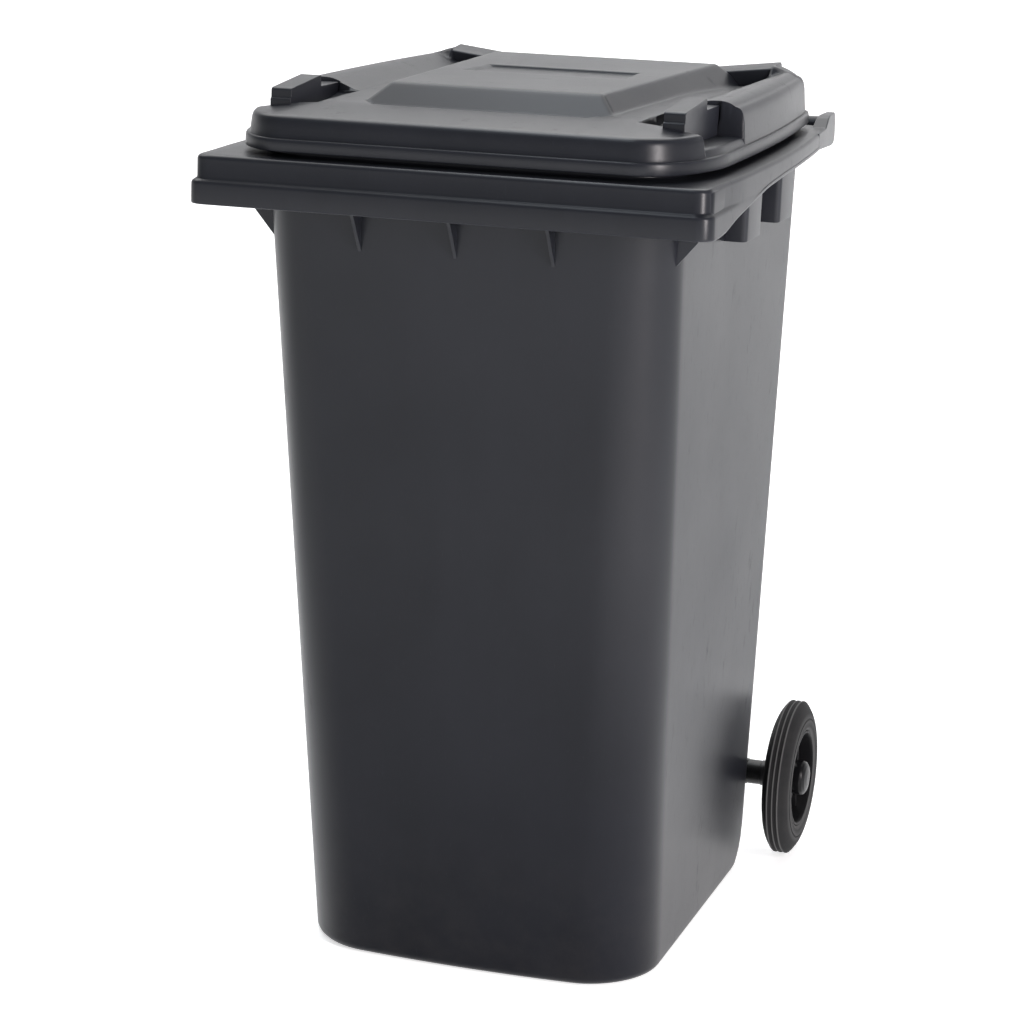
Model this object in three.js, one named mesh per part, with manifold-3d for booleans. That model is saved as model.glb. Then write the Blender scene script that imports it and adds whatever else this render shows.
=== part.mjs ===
// A 240 litre two-wheeled refuse bin: a tapered container with a comb lifting rim, a hinged lid and
// two rubber-tyred wheels on a steel axle. Millimetres, +Z up, +Y to the rear where the wheels are.
// Heights are measured from the ground. Depths are measured from the front face of the comb rim,
// and one group moves everything so that the origin is under the middle of the overall box.
import * as THREE from "three";
import { mergeVertices } from "three/addons/utils/BufferGeometryUtils.js";
import Module from "manifold-3d";

const wasm = await Module();
wasm.setup();

// ---- driving dimensions -------------------------------------------------------------------------
const WALL = 3.5;
const SKIN = 3.2;
const GAP = 0.3;
const CORNER_STEPS = 6;
const BOW_STEPS = 6;
const SIDE_STEPS = 6;

// Container body: values at the ground and at the top of the rim.
const RIM_TOP = 977;
const BODY_HALF = [219, 245.5];
const BODY_FRONT = [142, 45];
const BODY_REAR = [639, 665];
const BODY_FRONT_RADIUS = [84, 67];
const BODY_BOW = [13, 5];
const BODY_REAR_RADIUS = 30;
const FLOOR = 5;
const FOOT_RADIUS = 10;
const HEEL_RADIUS = 55;

// Comb rim: a channel, open below, with a step in its face.
const RIM_HALF = 304;
const RIM_BOTTOM = 922;
const RIM_STEP = 949;
const RIM_STEP_INSET = 5.6;
const RIM_CORNER = 18;
const RIM_REAR = 666;
const NARROWING = { from: 250, length: 450, share: 0.108 };
const SIDE_EDGE_REAR = 956;
const COLLAR_TOP = 987;

// Ribs and boxes under the rim.
const COMB_RIBS = [-114, 0, 114];
const RIB = 4;
const RIB_FOOT = 870;
const BOXES = [
  { y0: 293, out: 271 },
  { y0: 464, out: 268 },
];
const BOX_LENGTH = 72;
const BOX_FOOT = 879;

// Hinge and grips.
const PIN = { y: 716, z: 1004, radius: 6 };
const GRIP = { y: 715, z: 971, radius: 12 };
const EAR_RADIUS = 15;
const EARS = [113, 166];
const EAR = 5;
const ARM = [121.5, 162.5];
const BRACKET = { inner: 262, outer: 272, rear: 729, flare: 0.094 };

// Wheels and axle.
const AXLE = { y: 684, z: 105.5, radius: 10, half: 284.5 };
const WHEEL_X = 266;
const TYRE_RADIUS = 102;
const TREAD_RIDGES = [-6.8, 0, 6.8];
const HOUSING = [150, 198];
const HOUSING_RADIUS = 24;

// Lid.
const LID_BOTTOM = 984;
const LID_EDGE = 1024;
const LID_TOP = 1033;
const LID_FRONT = 22;
const LID_REAR = 662;
const LID_HALF = 281;
const LID_CORNER = { across: 80, along: 140 };
const SHOULDER_TOP = 1046;
const PLATEAU_TOP = 1053;
const POST = { x0: 219, x1: 244, y0: 98, y1: 190, front: 1046, rear: 1054, ridge: 1041 };
const NOTCH = { x0: 244, y0: 105, y1: 240, floor: 1008 };
const POCKET = { x0: 192, y0: 108, floor: 1016, rise: 1029 };

const REAR_MOST = AXLE.y + TYRE_RADIUS;

// ---- solids -------------------------------------------------------------------------------------

/** A closed three.js geometry as a solid that can be joined and cut. */
function solid(geometry) {
  const bare = geometry.clone();
  bare.deleteAttribute("normal");
  bare.deleteAttribute("uv");
  const merged = mergeVertices(bare, 1e-4);
  return new wasm.Manifold(
    new wasm.Mesh({
      numProp: 3,
      vertProperties: merged.attributes.position.array,
      triVerts: new Uint32Array(merged.index.array),
    }),
  );
}

/** A solid back as a three.js geometry. */
function geometryOf(body) {
  const mesh = body.getMesh();
  return new THREE.BufferGeometry()
    .setAttribute("position", new THREE.BufferAttribute(new Float32Array(mesh.vertProperties), 3))
    .setIndex(new THREE.BufferAttribute(new Uint32Array(mesh.triVerts), 1))
    .toNonIndexed();
}

const join = (parts) => parts.reduce((sum, part) => sum.add(part));
const cut = (body, tools) => tools.reduce((rest, tool) => rest.subtract(tool), body);

/** A closed skin through rings of equal point count, each counterclockwise seen from above. */
function loft(rings) {
  const count = rings[0].length;
  const positions = [];
  const put = (...points) => points.forEach((p) => positions.push(p.x, p.y, p.z));
  for (let level = 0; level + 1 < rings.length; level++) {
    for (let i = 0; i < count; i++) {
      const next = (i + 1) % count;
      const [a, b] = [rings[level][i], rings[level][next]];
      const [c, d] = [rings[level + 1][i], rings[level + 1][next]];
      put(a, b, d);
      put(a, d, c);
    }
  }
  const middle = (ring) => {
    const sum = ring.reduce((total, p) => total.clone().add(p), new THREE.Vector3());
    return sum.divideScalar(count);
  };
  const [bottom, top] = [rings[0], rings[rings.length - 1]];
  for (let i = 0; i < count; i++) {
    const next = (i + 1) % count;
    put(middle(bottom), bottom[next], bottom[i]);
    put(middle(top), top[i], top[next]);
  }
  const geometry = new THREE.BufferGeometry();
  geometry.setAttribute("position", new THREE.BufferAttribute(new Float32Array(positions), 3));
  return solid(geometry);
}

/** A box between two corners. */
function box(x0, x1, y0, y1, z0, z1) {
  const geometry = new THREE.BoxGeometry(x1 - x0, y1 - y0, z1 - z0);
  return solid(geometry.translate((x0 + x1) / 2, (y0 + y1) / 2, (z0 + z1) / 2));
}

/** A side profile, given as [y, z] corners, with a width from x0 to x1. */
function slab(profile, x0, x1) {
  const shape = new THREE.Shape(profile.map(([y, z]) => new THREE.Vector2(y, z)));
  const geometry = new THREE.ExtrudeGeometry(shape, { depth: x1 - x0, bevelEnabled: false });
  const sideways = new THREE.Matrix4().makeBasis(
    new THREE.Vector3(0, 1, 0),
    new THREE.Vector3(0, 0, 1),
    new THREE.Vector3(1, 0, 0),
  );
  return solid(geometry.applyMatrix4(sideways).translate(x0, 0, 0));
}

/** A round bar along X. */
function barX(radius, x0, x1, { y, z }, segments = 20) {
  const geometry = new THREE.CylinderGeometry(radius, radius, x1 - x0, segments);
  return solid(geometry.rotateZ(Math.PI / 2).translate((x0 + x1) / 2, y, z));
}

/** The same piece on the right, side 1, or on the left, side -1: x0 and x1 are distances out. */
const outward = (side, x0, x1) => (side > 0 ? [x0, x1] : [-x1, -x0]);

// ---- plan outlines ------------------------------------------------------------------------------

/** How much of its width the rim or lid keeps at a depth: it narrows towards the rear. */
function widthShare(y) {
  const past = Math.max(0, y - NARROWING.from) / NARROWING.length;
  return 1 - NARROWING.share * past * past;
}

/** A rounded rectangle in plan, with a bowed front and, when barrel is set, sides that narrow. */
function plan(shape, z) {
  const { half, front, rear, frontRadius, rearRadius } = shape;
  const { frontDepth = frontRadius, bow = 0, barrel = false } = shape;
  const points = [];
  const corner = (x, y, across, along, start) => {
    for (let i = 0; i <= CORNER_STEPS; i++) {
      const angle = start + ((i / CORNER_STEPS) * Math.PI) / 2;
      points.push([x + across * Math.cos(angle), y + along * Math.sin(angle)]);
    }
  };
  const between = (from, to, steps, place) => {
    for (let i = 1; i < steps; i++) points.push(place(from + ((to - from) * i) / steps));
  };
  const [frontTurn, rearTurn] = [front + frontDepth, rear - rearRadius];
  corner(-half + frontRadius, frontTurn, frontRadius, frontDepth, Math.PI);
  between(-half + frontRadius, half - frontRadius, BOW_STEPS, (x) => [x, front]);
  corner(half - frontRadius, frontTurn, frontRadius, frontDepth, 1.5 * Math.PI);
  between(frontTurn, rearTurn, SIDE_STEPS, (y) => [half, y]);
  corner(half - rearRadius, rearTurn, rearRadius, rearRadius, 0);
  corner(-half + rearRadius, rearTurn, rearRadius, rearRadius, Math.PI / 2);
  between(rearTurn, frontTurn, SIDE_STEPS, (y) => [-half, y]);
  return points.map(([x, y]) => {
    const ahead = THREE.MathUtils.clamp((frontTurn - y) / frontDepth, 0, 1);
    const share = barrel ? widthShare(y) : 1;
    return new THREE.Vector3(x * share, y - bow * ahead * (1 - (x / half) ** 2), z);
  });
}

/** How far a rounded lower edge of this radius draws a wall in at height z. */
function drawIn(radius, z) {
  return z >= radius ? 0 : radius - Math.sqrt(radius ** 2 - (radius - z) ** 2);
}

// ---- container ----------------------------------------------------------------------------------

/** The plan of the body at a height, inset by a wall thickness, standing on a floor height. */
function bodyPlan(z, inset, ground) {
  const at = ([low, high]) => low + ((high - low) * z) / RIM_TOP;
  const foot = drawIn(FOOT_RADIUS, z - ground);
  const heel = drawIn(HEEL_RADIUS - inset, z - ground);
  return plan(
    {
      half: at(BODY_HALF) - inset - foot,
      front: at(BODY_FRONT) + inset + foot,
      rear: at(BODY_REAR) - inset - heel,
      frontRadius: at(BODY_FRONT_RADIUS) - inset - foot,
      rearRadius: BODY_REAR_RADIUS - inset,
      bow: at(BODY_BOW),
    },
    z,
  );
}

function bodyLoft(inset, ground, top) {
  const rises = [0, 3, FOOT_RADIUS, 25, HEEL_RADIUS];
  const levels = [...rises.map((rise) => ground + rise), 360, 660, top];
  return loft(levels.map((z) => bodyPlan(z, inset, ground)));
}

/** A block with the rim's plan, drawn in by a front and a side inset. */
function rimBlock(frontInset, sideInset, z0, z1) {
  const shape = {
    half: RIM_HALF - sideInset,
    front: frontInset,
    rear: RIM_REAR - sideInset / 2,
    frontRadius: RIM_CORNER,
    rearRadius: 34,
    barrel: true,
  };
  return loft([plan(shape, z0), plan(shape, z1)]);
}

/** A block with the plan of the raised collar round the opening. */
function collarBlock(inset, z0, z1) {
  const shape = {
    half: BODY_HALF[1] - 1 - inset,
    front: BODY_FRONT[1] + 1 + inset,
    rear: LID_REAR - 10 - inset,
    frontRadius: BODY_FRONT_RADIUS[1] - inset,
    rearRadius: BODY_REAR_RADIUS - inset,
    bow: BODY_BOW[1],
  };
  return loft([plan(shape, z0), plan(shape, z1)]);
}

/** The stepped channel of the comb rim, whose side faces get shallower towards the rear. */
function rimChannel() {
  const lower = rimBlock(0, 0, RIM_BOTTOM, RIM_STEP);
  const upper = rimBlock(RIM_STEP_INSET, 3, RIM_STEP - SKIN, RIM_TOP);
  const hollows = [
    rimBlock(SKIN, SKIN, RIM_BOTTOM - 10, RIM_STEP - SKIN),
    rimBlock(RIM_STEP_INSET + SKIN, 3 + SKIN, RIM_BOTTOM - 10, RIM_TOP - SKIN),
  ];
  const below = RIM_BOTTOM - 20;
  const sideEdge = slab(
    [[40, below], [40, RIM_BOTTOM], [110, 933], [180, 943], [255, 952], [344, SIDE_EDGE_REAR],
      [700, SIDE_EDGE_REAR], [700, below]],
    -RIM_HALF - 10,
    RIM_HALF + 10,
  );
  return cut(lower.add(upper), [...hollows, sideEdge]);
}

/** Ribs that tie the front of the rim to the body. */
function combRibs() {
  const profile = [[2, RIM_STEP], [2, RIM_BOTTOM + 5], [18, RIM_BOTTOM + 2], [26, 915], [38, 895],
    [50, RIB_FOOT], [100, RIB_FOOT], [100, RIM_TOP - 1], [8, RIM_TOP - 1], [8, RIM_STEP]];
  return COMB_RIBS.map((x) => slab(profile, x - RIB / 2, x + RIB / 2));
}

/** A gusset across the side channel near the front corner: a plate whose lower edge slopes out. */
function cornerGusset(side) {
  const [y0, y1] = [102, 106];
  const corners = [[200, 872], [237, 872], [261, 902], [284, 930], [295, 940], [295, RIM_TOP - 1],
    [200, RIM_TOP - 1]];
  const ring = (y) => corners.map(([x, z]) => new THREE.Vector3(side * x, y, z));
  return side > 0 ? loft([ring(y1), ring(y0)]) : loft([ring(y0), ring(y1)]);
}

/** A hollow stiffener box under the side rim, open below. */
function sideBox(side, { y0, out }) {
  const [x0, x1] = outward(side, 225, out);
  const [h0, h1] = outward(side, 225 - SKIN, out - SKIN);
  const outer = box(x0, x1, y0, y0 + BOX_LENGTH, BOX_FOOT, RIM_TOP - 1);
  const hollow = box(h0, h1, y0 + SKIN, y0 + BOX_LENGTH - SKIN, BOX_FOOT - 1, RIM_TOP - SKIN);
  return outer.subtract(hollow);
}

/** A plate that carries a grip bar and the hinge pin. */
function hingeEar(side, distance) {
  const [x0, x1] = outward(side, distance, distance + EAR);
  const web = [[650, 956], [GRIP.y, GRIP.z - GRIP.radius], [PIN.y + EAR_RADIUS - 2, GRIP.z],
    [PIN.y + EAR_RADIUS, PIN.z], [PIN.y - 12, PIN.z + 9], [672, RIM_TOP + 3], [650, RIM_TOP]];
  return join([
    slab(web, x0, x1),
    barX(EAR_RADIUS, x0, x1, PIN),
    barX(EAR_RADIUS, x0, x1, { y: GRIP.y, z: GRIP.z + 2 }),
  ]);
}

/** The side arm that carries the rim's side face back to the outer end of a grip. */
function bracket(side) {
  const profile = [[575, SIDE_EDGE_REAR], [704, 948], [722, 949], [BRACKET.rear, 956],
    [BRACKET.rear, 974], [724, 983], [712, 989], [668, 989], [640, RIM_TOP], [575, RIM_TOP]];
  const ring = (reach) => profile.map(([y, z]) => new THREE.Vector3(side * reach(y), y, z));
  const inner = ring(() => BRACKET.inner);
  const outer = ring((y) => BRACKET.outer + (BRACKET.rear - y) * BRACKET.flare);
  return side > 0 ? loft([inner, outer]) : loft([outer, inner]);
}

/** A hollow housing behind the rear wall that holds the axle, open below. */
function axleHousing(side) {
  const [x0, x1] = outward(side, ...HOUSING);
  const [h0, h1] = outward(side, HOUSING[0] + WALL, HOUSING[1] - WALL);
  const { y, z } = AXLE;
  const profile = [[600, 40], [y - 12, z - 21], [y + HOUSING_RADIUS - 4, z - 10],
    [y + HOUSING_RADIUS - 4, z + 10], [y + 12, z + 21], [630, 190], [600, 190]];
  const hollow = [[590, 20], [y - 6, 60], [y + HOUSING_RADIUS - 8, z - 16],
    [y + HOUSING_RADIUS - 8, z + 8], [y + 9, z + 17], [632, 180], [590, 180]];
  const shell = join([slab(profile, x0, x1), barX(HOUSING_RADIUS, x0, x1, AXLE)]);
  return shell.subtract(slab(hollow, h0, h1));
}

function makeContainer() {
  const grips = [
    [-BRACKET.inner - 1, -EARS[1] - 1],
    [-EARS[0] - 1, EARS[0] + 1],
    [EARS[1] + 1, BRACKET.inner + 1],
  ];
  const parts = [
    rimChannel(),
    bodyLoft(0, 0, RIM_TOP),
    collarBlock(0, RIM_TOP - 1, COLLAR_TOP),
    ...combRibs(),
    ...grips.map(([x0, x1]) => barX(GRIP.radius, x0, x1, GRIP)),
  ];
  for (const side of [-1, 1]) {
    parts.push(cornerGusset(side), bracket(side), axleHousing(side));
    parts.push(...BOXES.map((place) => sideBox(side, place)));
    parts.push(...EARS.map((distance) => hingeEar(side, distance)));
  }
  const holes = [
    bodyLoft(WALL, FLOOR, RIM_TOP - SKIN),
    collarBlock(WALL, RIM_TOP - 20, COLLAR_TOP + 1),
    barX(AXLE.radius + GAP, -230, 230, AXLE, 24),
    barX(PIN.radius + GAP, -180, 180, PIN),
  ];
  return cut(join(parts), holes);
}

// ---- lid ----------------------------------------------------------------------------------------

/** The plan of the lid at a height, drawn in by an inset. */
function lidPlan(inset, z) {
  return plan(
    {
      half: LID_HALF - inset,
      front: LID_FRONT + inset,
      rear: LID_REAR - inset,
      frontRadius: Math.max(LID_CORNER.across - inset, 6),
      frontDepth: Math.max(LID_CORNER.along - inset, 12),
      rearRadius: Math.max(42 - inset, 6),
      bow: 2,
      barrel: true,
    },
    z,
  );
}

/** The pan of the lid: a flared lip, a leaning skirt, a rounded edge and a slightly domed top. */
function lidPan(inset, drop) {
  const levels = [[0, LID_BOTTOM], [1, 996], [4, 998], [6.6, 1015], [8.6, 1020], [12.5, 1023],
    [18, LID_EDGE], [100, LID_TOP]];
  const start = inset ? [[0, LID_BOTTOM - 1]] : [];
  const rings = [...start, ...levels].map(([draw, z], i) => {
    const fall = inset && i < 2 ? 0 : drop;
    return lidPlan(draw + inset, z - fall);
  });
  return loft(rings);
}

/** The raised centre of the lid: wider below than above, and wider at the rear. */
function plateau(thickness) {
  const ring = (front, rear, frontHalf, rearHalf, z) =>
    [[-frontHalf, front], [frontHalf, front], [rearHalf, rear], [-rearHalf, rear]].map(
      ([x, y]) => new THREE.Vector3(x, y, z),
    );
  const t = thickness;
  return loft([
    ring(143 + t, 636 - t, 154 - t, 172 - t, LID_TOP - 10),
    ring(151 + t, 626 - t, 146 - t, 164 - t, LID_TOP),
    ring(176 + t, 600 - t, 124 - t, 146 - t, PLATEAU_TOP - t),
  ]);
}

/** The long raised shoulder between a corner notch and a rear block. */
function shoulder(side, t) {
  const ring = (y0, y1, inner, z) => {
    const corners = [[inner, y0], [RIM_HALF, y0], [RIM_HALF, y1], [inner, y1]];
    const placed = corners.map(([x, y]) => new THREE.Vector3(side * x, y, z));
    return side > 0 ? placed : placed.reverse();
  };
  const region = loft([
    ring(NOTCH.y1 + t, 646 - t, 186 + t, LID_EDGE - 16),
    ring(NOTCH.y1 + t, 644 - t, 190 + t, LID_TOP - 3),
    ring(NOTCH.y1 + 3 + t, 638 - t, 232 + t, SHOULDER_TOP + 1),
  ]);
  const fullWidth = loft(
    [[4, 1000], [7, 1014], [9, 1032], [13, 1039], [19, 1043], [32, SHOULDER_TOP]].map(([draw, z]) =>
      lidPlan(draw + t, z - t),
    ),
  );
  return region.intersect(fullWidth);
}

/** A raised block at the rear, highest at its outer end, that the hinge arm grows from. */
function rearBlock(side, t) {
  const section = (x, top) =>
    [[616 + t, 1012], [655 - t, 1004], [665 - t, 1008], [665 - t, top - 1 - t], [661 - t, top + 2 - t],
      [640, top - t], [616 + t, top - 3 - t]].map(([y, z]) => new THREE.Vector3(side * x, y, z));
  const rings = [section(114 + t, 1041), section(214 - t, 1053)];
  return side > 0 ? loft(rings) : loft(rings.map((ring) => ring.reverse()));
}

/** A hinge arm with its knuckle round the pin. */
function hingeArm(side) {
  const [x0, x1] = outward(side, ...ARM);
  const profile = [[640, 993], [PIN.y, PIN.z - EAR_RADIUS + 1], [PIN.y, PIN.z + EAR_RADIUS - 1],
    [684, 1024], [640, 1034]];
  return slab(profile, x0, x1).add(barX(EAR_RADIUS - 1, x0, x1, PIN));
}

/** A front grip post with a stepped face and a rising top, tied back to the shoulder by a ridge. */
function gripPost(side, t) {
  const { x0, x1, y0, y1, front, rear, ridge } = POST;
  const back = NOTCH.y1 + 6;
  const profile = [[y0 + t, LID_EDGE - 14], [y0 + t, front - 12], [y0 + t + 2, front - 11],
    [y0 + t + 2, front - t - 1], [y0 + t + 4, front - t], [y1 - t, rear - t], [y1 - t, ridge - t],
    [back, ridge - t], [back, LID_EDGE - 14]];
  return slab(profile, ...outward(side, x0 + t, x1 - t));
}

/** The space above a low front corner of the lid. */
function notch(side, t) {
  const [x0, x1] = outward(side, NOTCH.x0 - t, RIM_HALF);
  return box(x0, x1, NOTCH.y0 - t, NOTCH.y1 + t, NOTCH.floor - t, PLATEAU_TOP);
}

/** The space of the pocket inside a grip post, whose floor rises to the shoulder. */
function pocket(side, t) {
  const { x0, y0, floor, rise } = POCKET;
  const profile = [[y0 - t, floor - t], [150, floor - t], [NOTCH.y1 + t, rise - t],
    [NOTCH.y1 + t, PLATEAU_TOP + 9], [y0 - t, PLATEAU_TOP + 9]];
  return slab(profile, ...outward(side, x0 - t, POST.x0 + t));
}

/** Small ribs under the front of the lid that stand on the collar. */
function restRib(side) {
  const [x0, x1] = outward(side, 140, 146);
  return box(x0, x1, LID_FRONT + 16, LID_FRONT + 38, COLLAR_TOP + GAP, LID_EDGE - 2);
}

/** The hollow in front of the plateau: its floor falls to the foot of the plateau's front. */
function frontHollow(t) {
  const outline = [[-125, 115], [125, 115], [148, 150], [-148, 150]];
  const ring = (z) => outline.map(([x, y]) => {
    return new THREE.Vector3(x + Math.sign(x) * t, y + Math.sign(y - 130) * t, z);
  });
  const wedge = slab([[90, 1032 - t], [165, 1024 - t], [165, 1080], [90, 1080]], -200, 200);
  return loft([ring(1000), ring(1070)]).intersect(wedge);
}

/** The shallow slot across the plateau. */
function plateauSlot() {
  const ring = (z, grow) =>
    [[-100, 350], [100, 350], [94, 430], [-94, 430]].map(
      ([x, y]) => new THREE.Vector3(x + Math.sign(x) * grow, y + Math.sign(y - 390) * grow, z),
    );
  return loft([ring(PLATEAU_TOP - 2, 0), ring(PLATEAU_TOP + 1, 3)]);
}

function makeLid() {
  const sides = [-1, 1];
  const raised = (t) => [
    plateau(t),
    ...sides.flatMap((side) => [shoulder(side, t), rearBlock(side, t), gripPost(side, t)]),
  ];
  const form = (t) =>
    cut(
      join([lidPan(t, t).subtract(frontHollow(t)), ...raised(t)]),
      sides.flatMap((side) => [notch(side, t), pocket(side, t)]),
    );
  const shell = form(0).subtract(form(SKIN)).subtract(plateauSlot());
  const whole = join([shell, ...sides.map(hingeArm), ...sides.map(restRib)]);
  return whole.subtract(barX(PIN.radius + GAP, -180, 180, PIN));
}

// ---- turned pieces ------------------------------------------------------------------------------

/** A body turned about X: the profile lists [radius, distance out] corners and closes on itself. */
function turned(profile, segments = 32) {
  const points = [...profile, profile[0]].map(([radius, out]) => new THREE.Vector2(radius, out));
  return solid(new THREE.LatheGeometry(points, segments));
}

/** Half of the tyre's section, from its bore to the edge of its tread. */
const SIDEWALL = [[64, 17], [68, 18.6], [75, 19], [83, 18], [90, 15.6], [95.5, 12.6], [99.2, 10]];

const TYRE_PROFILE = [
  ...SIDEWALL.map(([radius, out]) => [radius, -out]),
  ...TREAD_RIDGES.flatMap((out) => [
    [TYRE_RADIUS - 1, out - 1.6], [TYRE_RADIUS, out - 0.6], [TYRE_RADIUS, out + 0.6],
    [TYRE_RADIUS - 1, out + 1.6],
  ]),
  ...SIDEWALL.toReversed(),
];

const HUB_PROFILE = [
  [13.3, -26], [19, -26], [20, -6], [59.5, -6], [59.5, -17], [63.7, -17], [63.7, 17], [60.5, 17],
  [59.5, -1], [20, -1], [19, 12], [13.3, 12],
];

/** The spoked wheel centre: a turned drum and web with windows between the spokes. */
function makeHub() {
  const windows = [];
  const count = 6;
  for (let i = 0; i < count; i++) {
    const shape = new THREE.Shape();
    shape.absarc(0, 0, 54, -0.33, 0.33, false);
    shape.absarc(0, 0, 28, 0.24, -0.24, true);
    const depth = { depth: 10, bevelEnabled: false, curveSegments: 3 };
    const geometry = new THREE.ExtrudeGeometry(shape, depth);
    geometry.translate(0, 0, -8).rotateZ((i * 2 * Math.PI) / count).rotateX(-Math.PI / 2);
    windows.push(solid(geometry));
  }
  const ribs = [];
  for (let i = 0; i < count; i++) {
    const geometry = new THREE.BoxGeometry(42, 9, 4);
    geometry.translate(39.5, 0.5, 0).rotateY(((i + 0.5) * 2 * Math.PI) / count);
    ribs.push(solid(geometry));
  }
  return join([cut(turned(HUB_PROFILE), windows), ...ribs]);
}

/** A headed hinge pin, head inwards, with a snap tip. */
function hingePin(side) {
  const from = EARS[0];
  const to = EARS[1] + EAR;
  const piece = (radius, x0, x1) => barX(radius, ...outward(side, x0, x1), PIN);
  return join([
    piece(PIN.radius + 3.5, from - 4, from - GAP),
    piece(PIN.radius, from - 1, to + 1),
    piece(PIN.radius + 1, to + GAP, to + 4),
  ]);
}

// Pieces on the axle, as [radius, distance out from the wheel's middle plane].
const AXLE_HOLE = AXLE.radius + GAP;
const BUSH_PROFILE = [
  [AXLE_HOLE, -26], [13, -26], [13, 12 + GAP], [17, 12 + GAP], [17, 13.8], [AXLE_HOLE, 13.8],
];
const OUTER_WASHER_PROFILE = [[AXLE_HOLE, 14.1], [16, 14.1], [16, 16], [AXLE_HOLE, 16]];
const INNER_WASHER_PROFILE = [[AXLE_HOLE, -28], [17, -28], [17, -26.3], [AXLE_HOLE, -26.3]];
const LOCK_CAP_PROFILE = [
  [0, 19], [AXLE_HOLE, 19], [AXLE_HOLE, 16.4], [15.5, 16.4], [15.5, 17.6], [12, 18.4], [12, 19.6],
  [9, 20.8], [0, 20.8],
];
const HUB_CAP_PROFILE = [
  [0, 23.2], [15, 21.5], [20.6, 17], [20.6, 12], [19.9, 6], [21.5, 6], [23, 12], [23, 18],
  [17, 23.5], [0, 25.5],
];
const SLEEVE_START = HOUSING[1] + GAP - WHEEL_X;
const SLEEVE_PROFILE = [
  [AXLE_HOLE, SLEEVE_START], [17, SLEEVE_START], [17, -28.3], [AXLE_HOLE, -28.3],
];

// ---- assembly -----------------------------------------------------------------------------------

const finish = (color, roughness, metalness = 0) =>
  new THREE.MeshStandardMaterial({ color, roughness, metalness, flatShading: true });

const MATERIALS = {
  moulding: () => finish(0x3a3c41, 0.38),
  blackPlastic: () => finish(0x141517, 0.45),
  rubber: () => finish(0x26272a, 0.8),
  nylon: () => finish(0xc9c6ba, 0.5),
  steel: () => finish(0xa7a9ab, 0.35, 1),
};

const bin = new THREE.Group();

function add(name, body, material, parent = bin) {
  const mesh = new THREE.Mesh(geometryOf(body), MATERIALS[material]());
  mesh.name = name;
  parent.add(mesh);
}

add("container", makeContainer(), "moulding");
add("lid", makeLid(), "moulding");
add("axle", barX(AXLE.radius, -AXLE.half, AXLE.half, AXLE, 24), "steel");

for (const [where, side] of [["left", -1], ["right", 1]]) {
  add(`hinge_pin_${where}`, hingePin(side), "blackPlastic");
  const wheel = new THREE.Group();
  wheel.position.set(side * WHEEL_X, AXLE.y, AXLE.z);
  wheel.rotation.z = (-side * Math.PI) / 2;
  bin.add(wheel);
  add(`tyre_${where}`, turned(TYRE_PROFILE, 36), "rubber", wheel);
  add(`wheel_hub_${where}`, makeHub(), "blackPlastic", wheel);
  add(`hub_bush_${where}`, turned(BUSH_PROFILE, 24), "nylon", wheel);
  add(`axle_sleeve_${where}`, turned(SLEEVE_PROFILE, 24), "blackPlastic", wheel);
  add(`inner_washer_${where}`, turned(INNER_WASHER_PROFILE, 24), "steel", wheel);
  add(`outer_washer_${where}`, turned(OUTER_WASHER_PROFILE, 24), "steel", wheel);
  add(`lock_cap_${where}`, turned(LOCK_CAP_PROFILE, 24), "steel", wheel);
  add(`hub_cap_${where}`, turned(HUB_CAP_PROFILE, 24), "blackPlastic", wheel);
}

bin.position.y = -REAR_MOST / 2;

const part = new THREE.Group();
part.add(bin);

export default part;
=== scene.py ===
"""Looks of a 240 litre two-wheeled refuse bin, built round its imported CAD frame.

Shapes are worked out in millimetres: x to the right, y back from the front face of the comb rim,
z up from the ground. place() turns them into the frame's metres.
"""
import math

import bmesh
import bpy
import numpy as np
from mathutils import Matrix, Vector


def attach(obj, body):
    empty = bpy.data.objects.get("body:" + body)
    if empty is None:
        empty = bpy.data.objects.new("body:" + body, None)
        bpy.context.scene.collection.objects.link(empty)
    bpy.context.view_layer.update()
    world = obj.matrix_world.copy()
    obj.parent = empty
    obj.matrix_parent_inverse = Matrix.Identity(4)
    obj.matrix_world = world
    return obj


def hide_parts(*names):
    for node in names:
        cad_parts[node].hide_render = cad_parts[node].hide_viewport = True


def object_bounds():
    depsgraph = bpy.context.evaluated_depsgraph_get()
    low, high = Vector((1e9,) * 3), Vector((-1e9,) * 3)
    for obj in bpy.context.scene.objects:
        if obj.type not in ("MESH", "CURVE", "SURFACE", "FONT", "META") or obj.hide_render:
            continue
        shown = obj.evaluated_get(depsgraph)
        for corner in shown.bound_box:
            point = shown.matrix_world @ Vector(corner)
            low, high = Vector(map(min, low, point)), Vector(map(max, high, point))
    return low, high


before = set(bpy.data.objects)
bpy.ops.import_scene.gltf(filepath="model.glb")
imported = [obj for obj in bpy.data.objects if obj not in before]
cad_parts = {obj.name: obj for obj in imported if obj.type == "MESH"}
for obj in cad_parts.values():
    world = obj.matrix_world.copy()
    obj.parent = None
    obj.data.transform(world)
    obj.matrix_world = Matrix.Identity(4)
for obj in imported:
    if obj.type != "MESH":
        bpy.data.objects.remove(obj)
cad_low, cad_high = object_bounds()

# ---- dimensions, as in the CAD -------------------------------------------------------------------
RIM_FRONT = round(cad_low.y * 1000)  # the comb rim's front face, in the frame

# Container: thicknesses, the radii of the foot's edge and the rear heel, and heights.
WALL = 3.5
SKIN = 3.2
FLOOR = 5.0
FOOT = 10.0
HEEL = 55.0
RIM_TOP = 977.0
RIM_STEP = 949.0
COLLAR_TOP = 987.0
RIM_HALF = 304.0
RIM_REAR = 666.0
RIM_CORNER = 18.0
RIM_REAR_CORNER = 34.0

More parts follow.
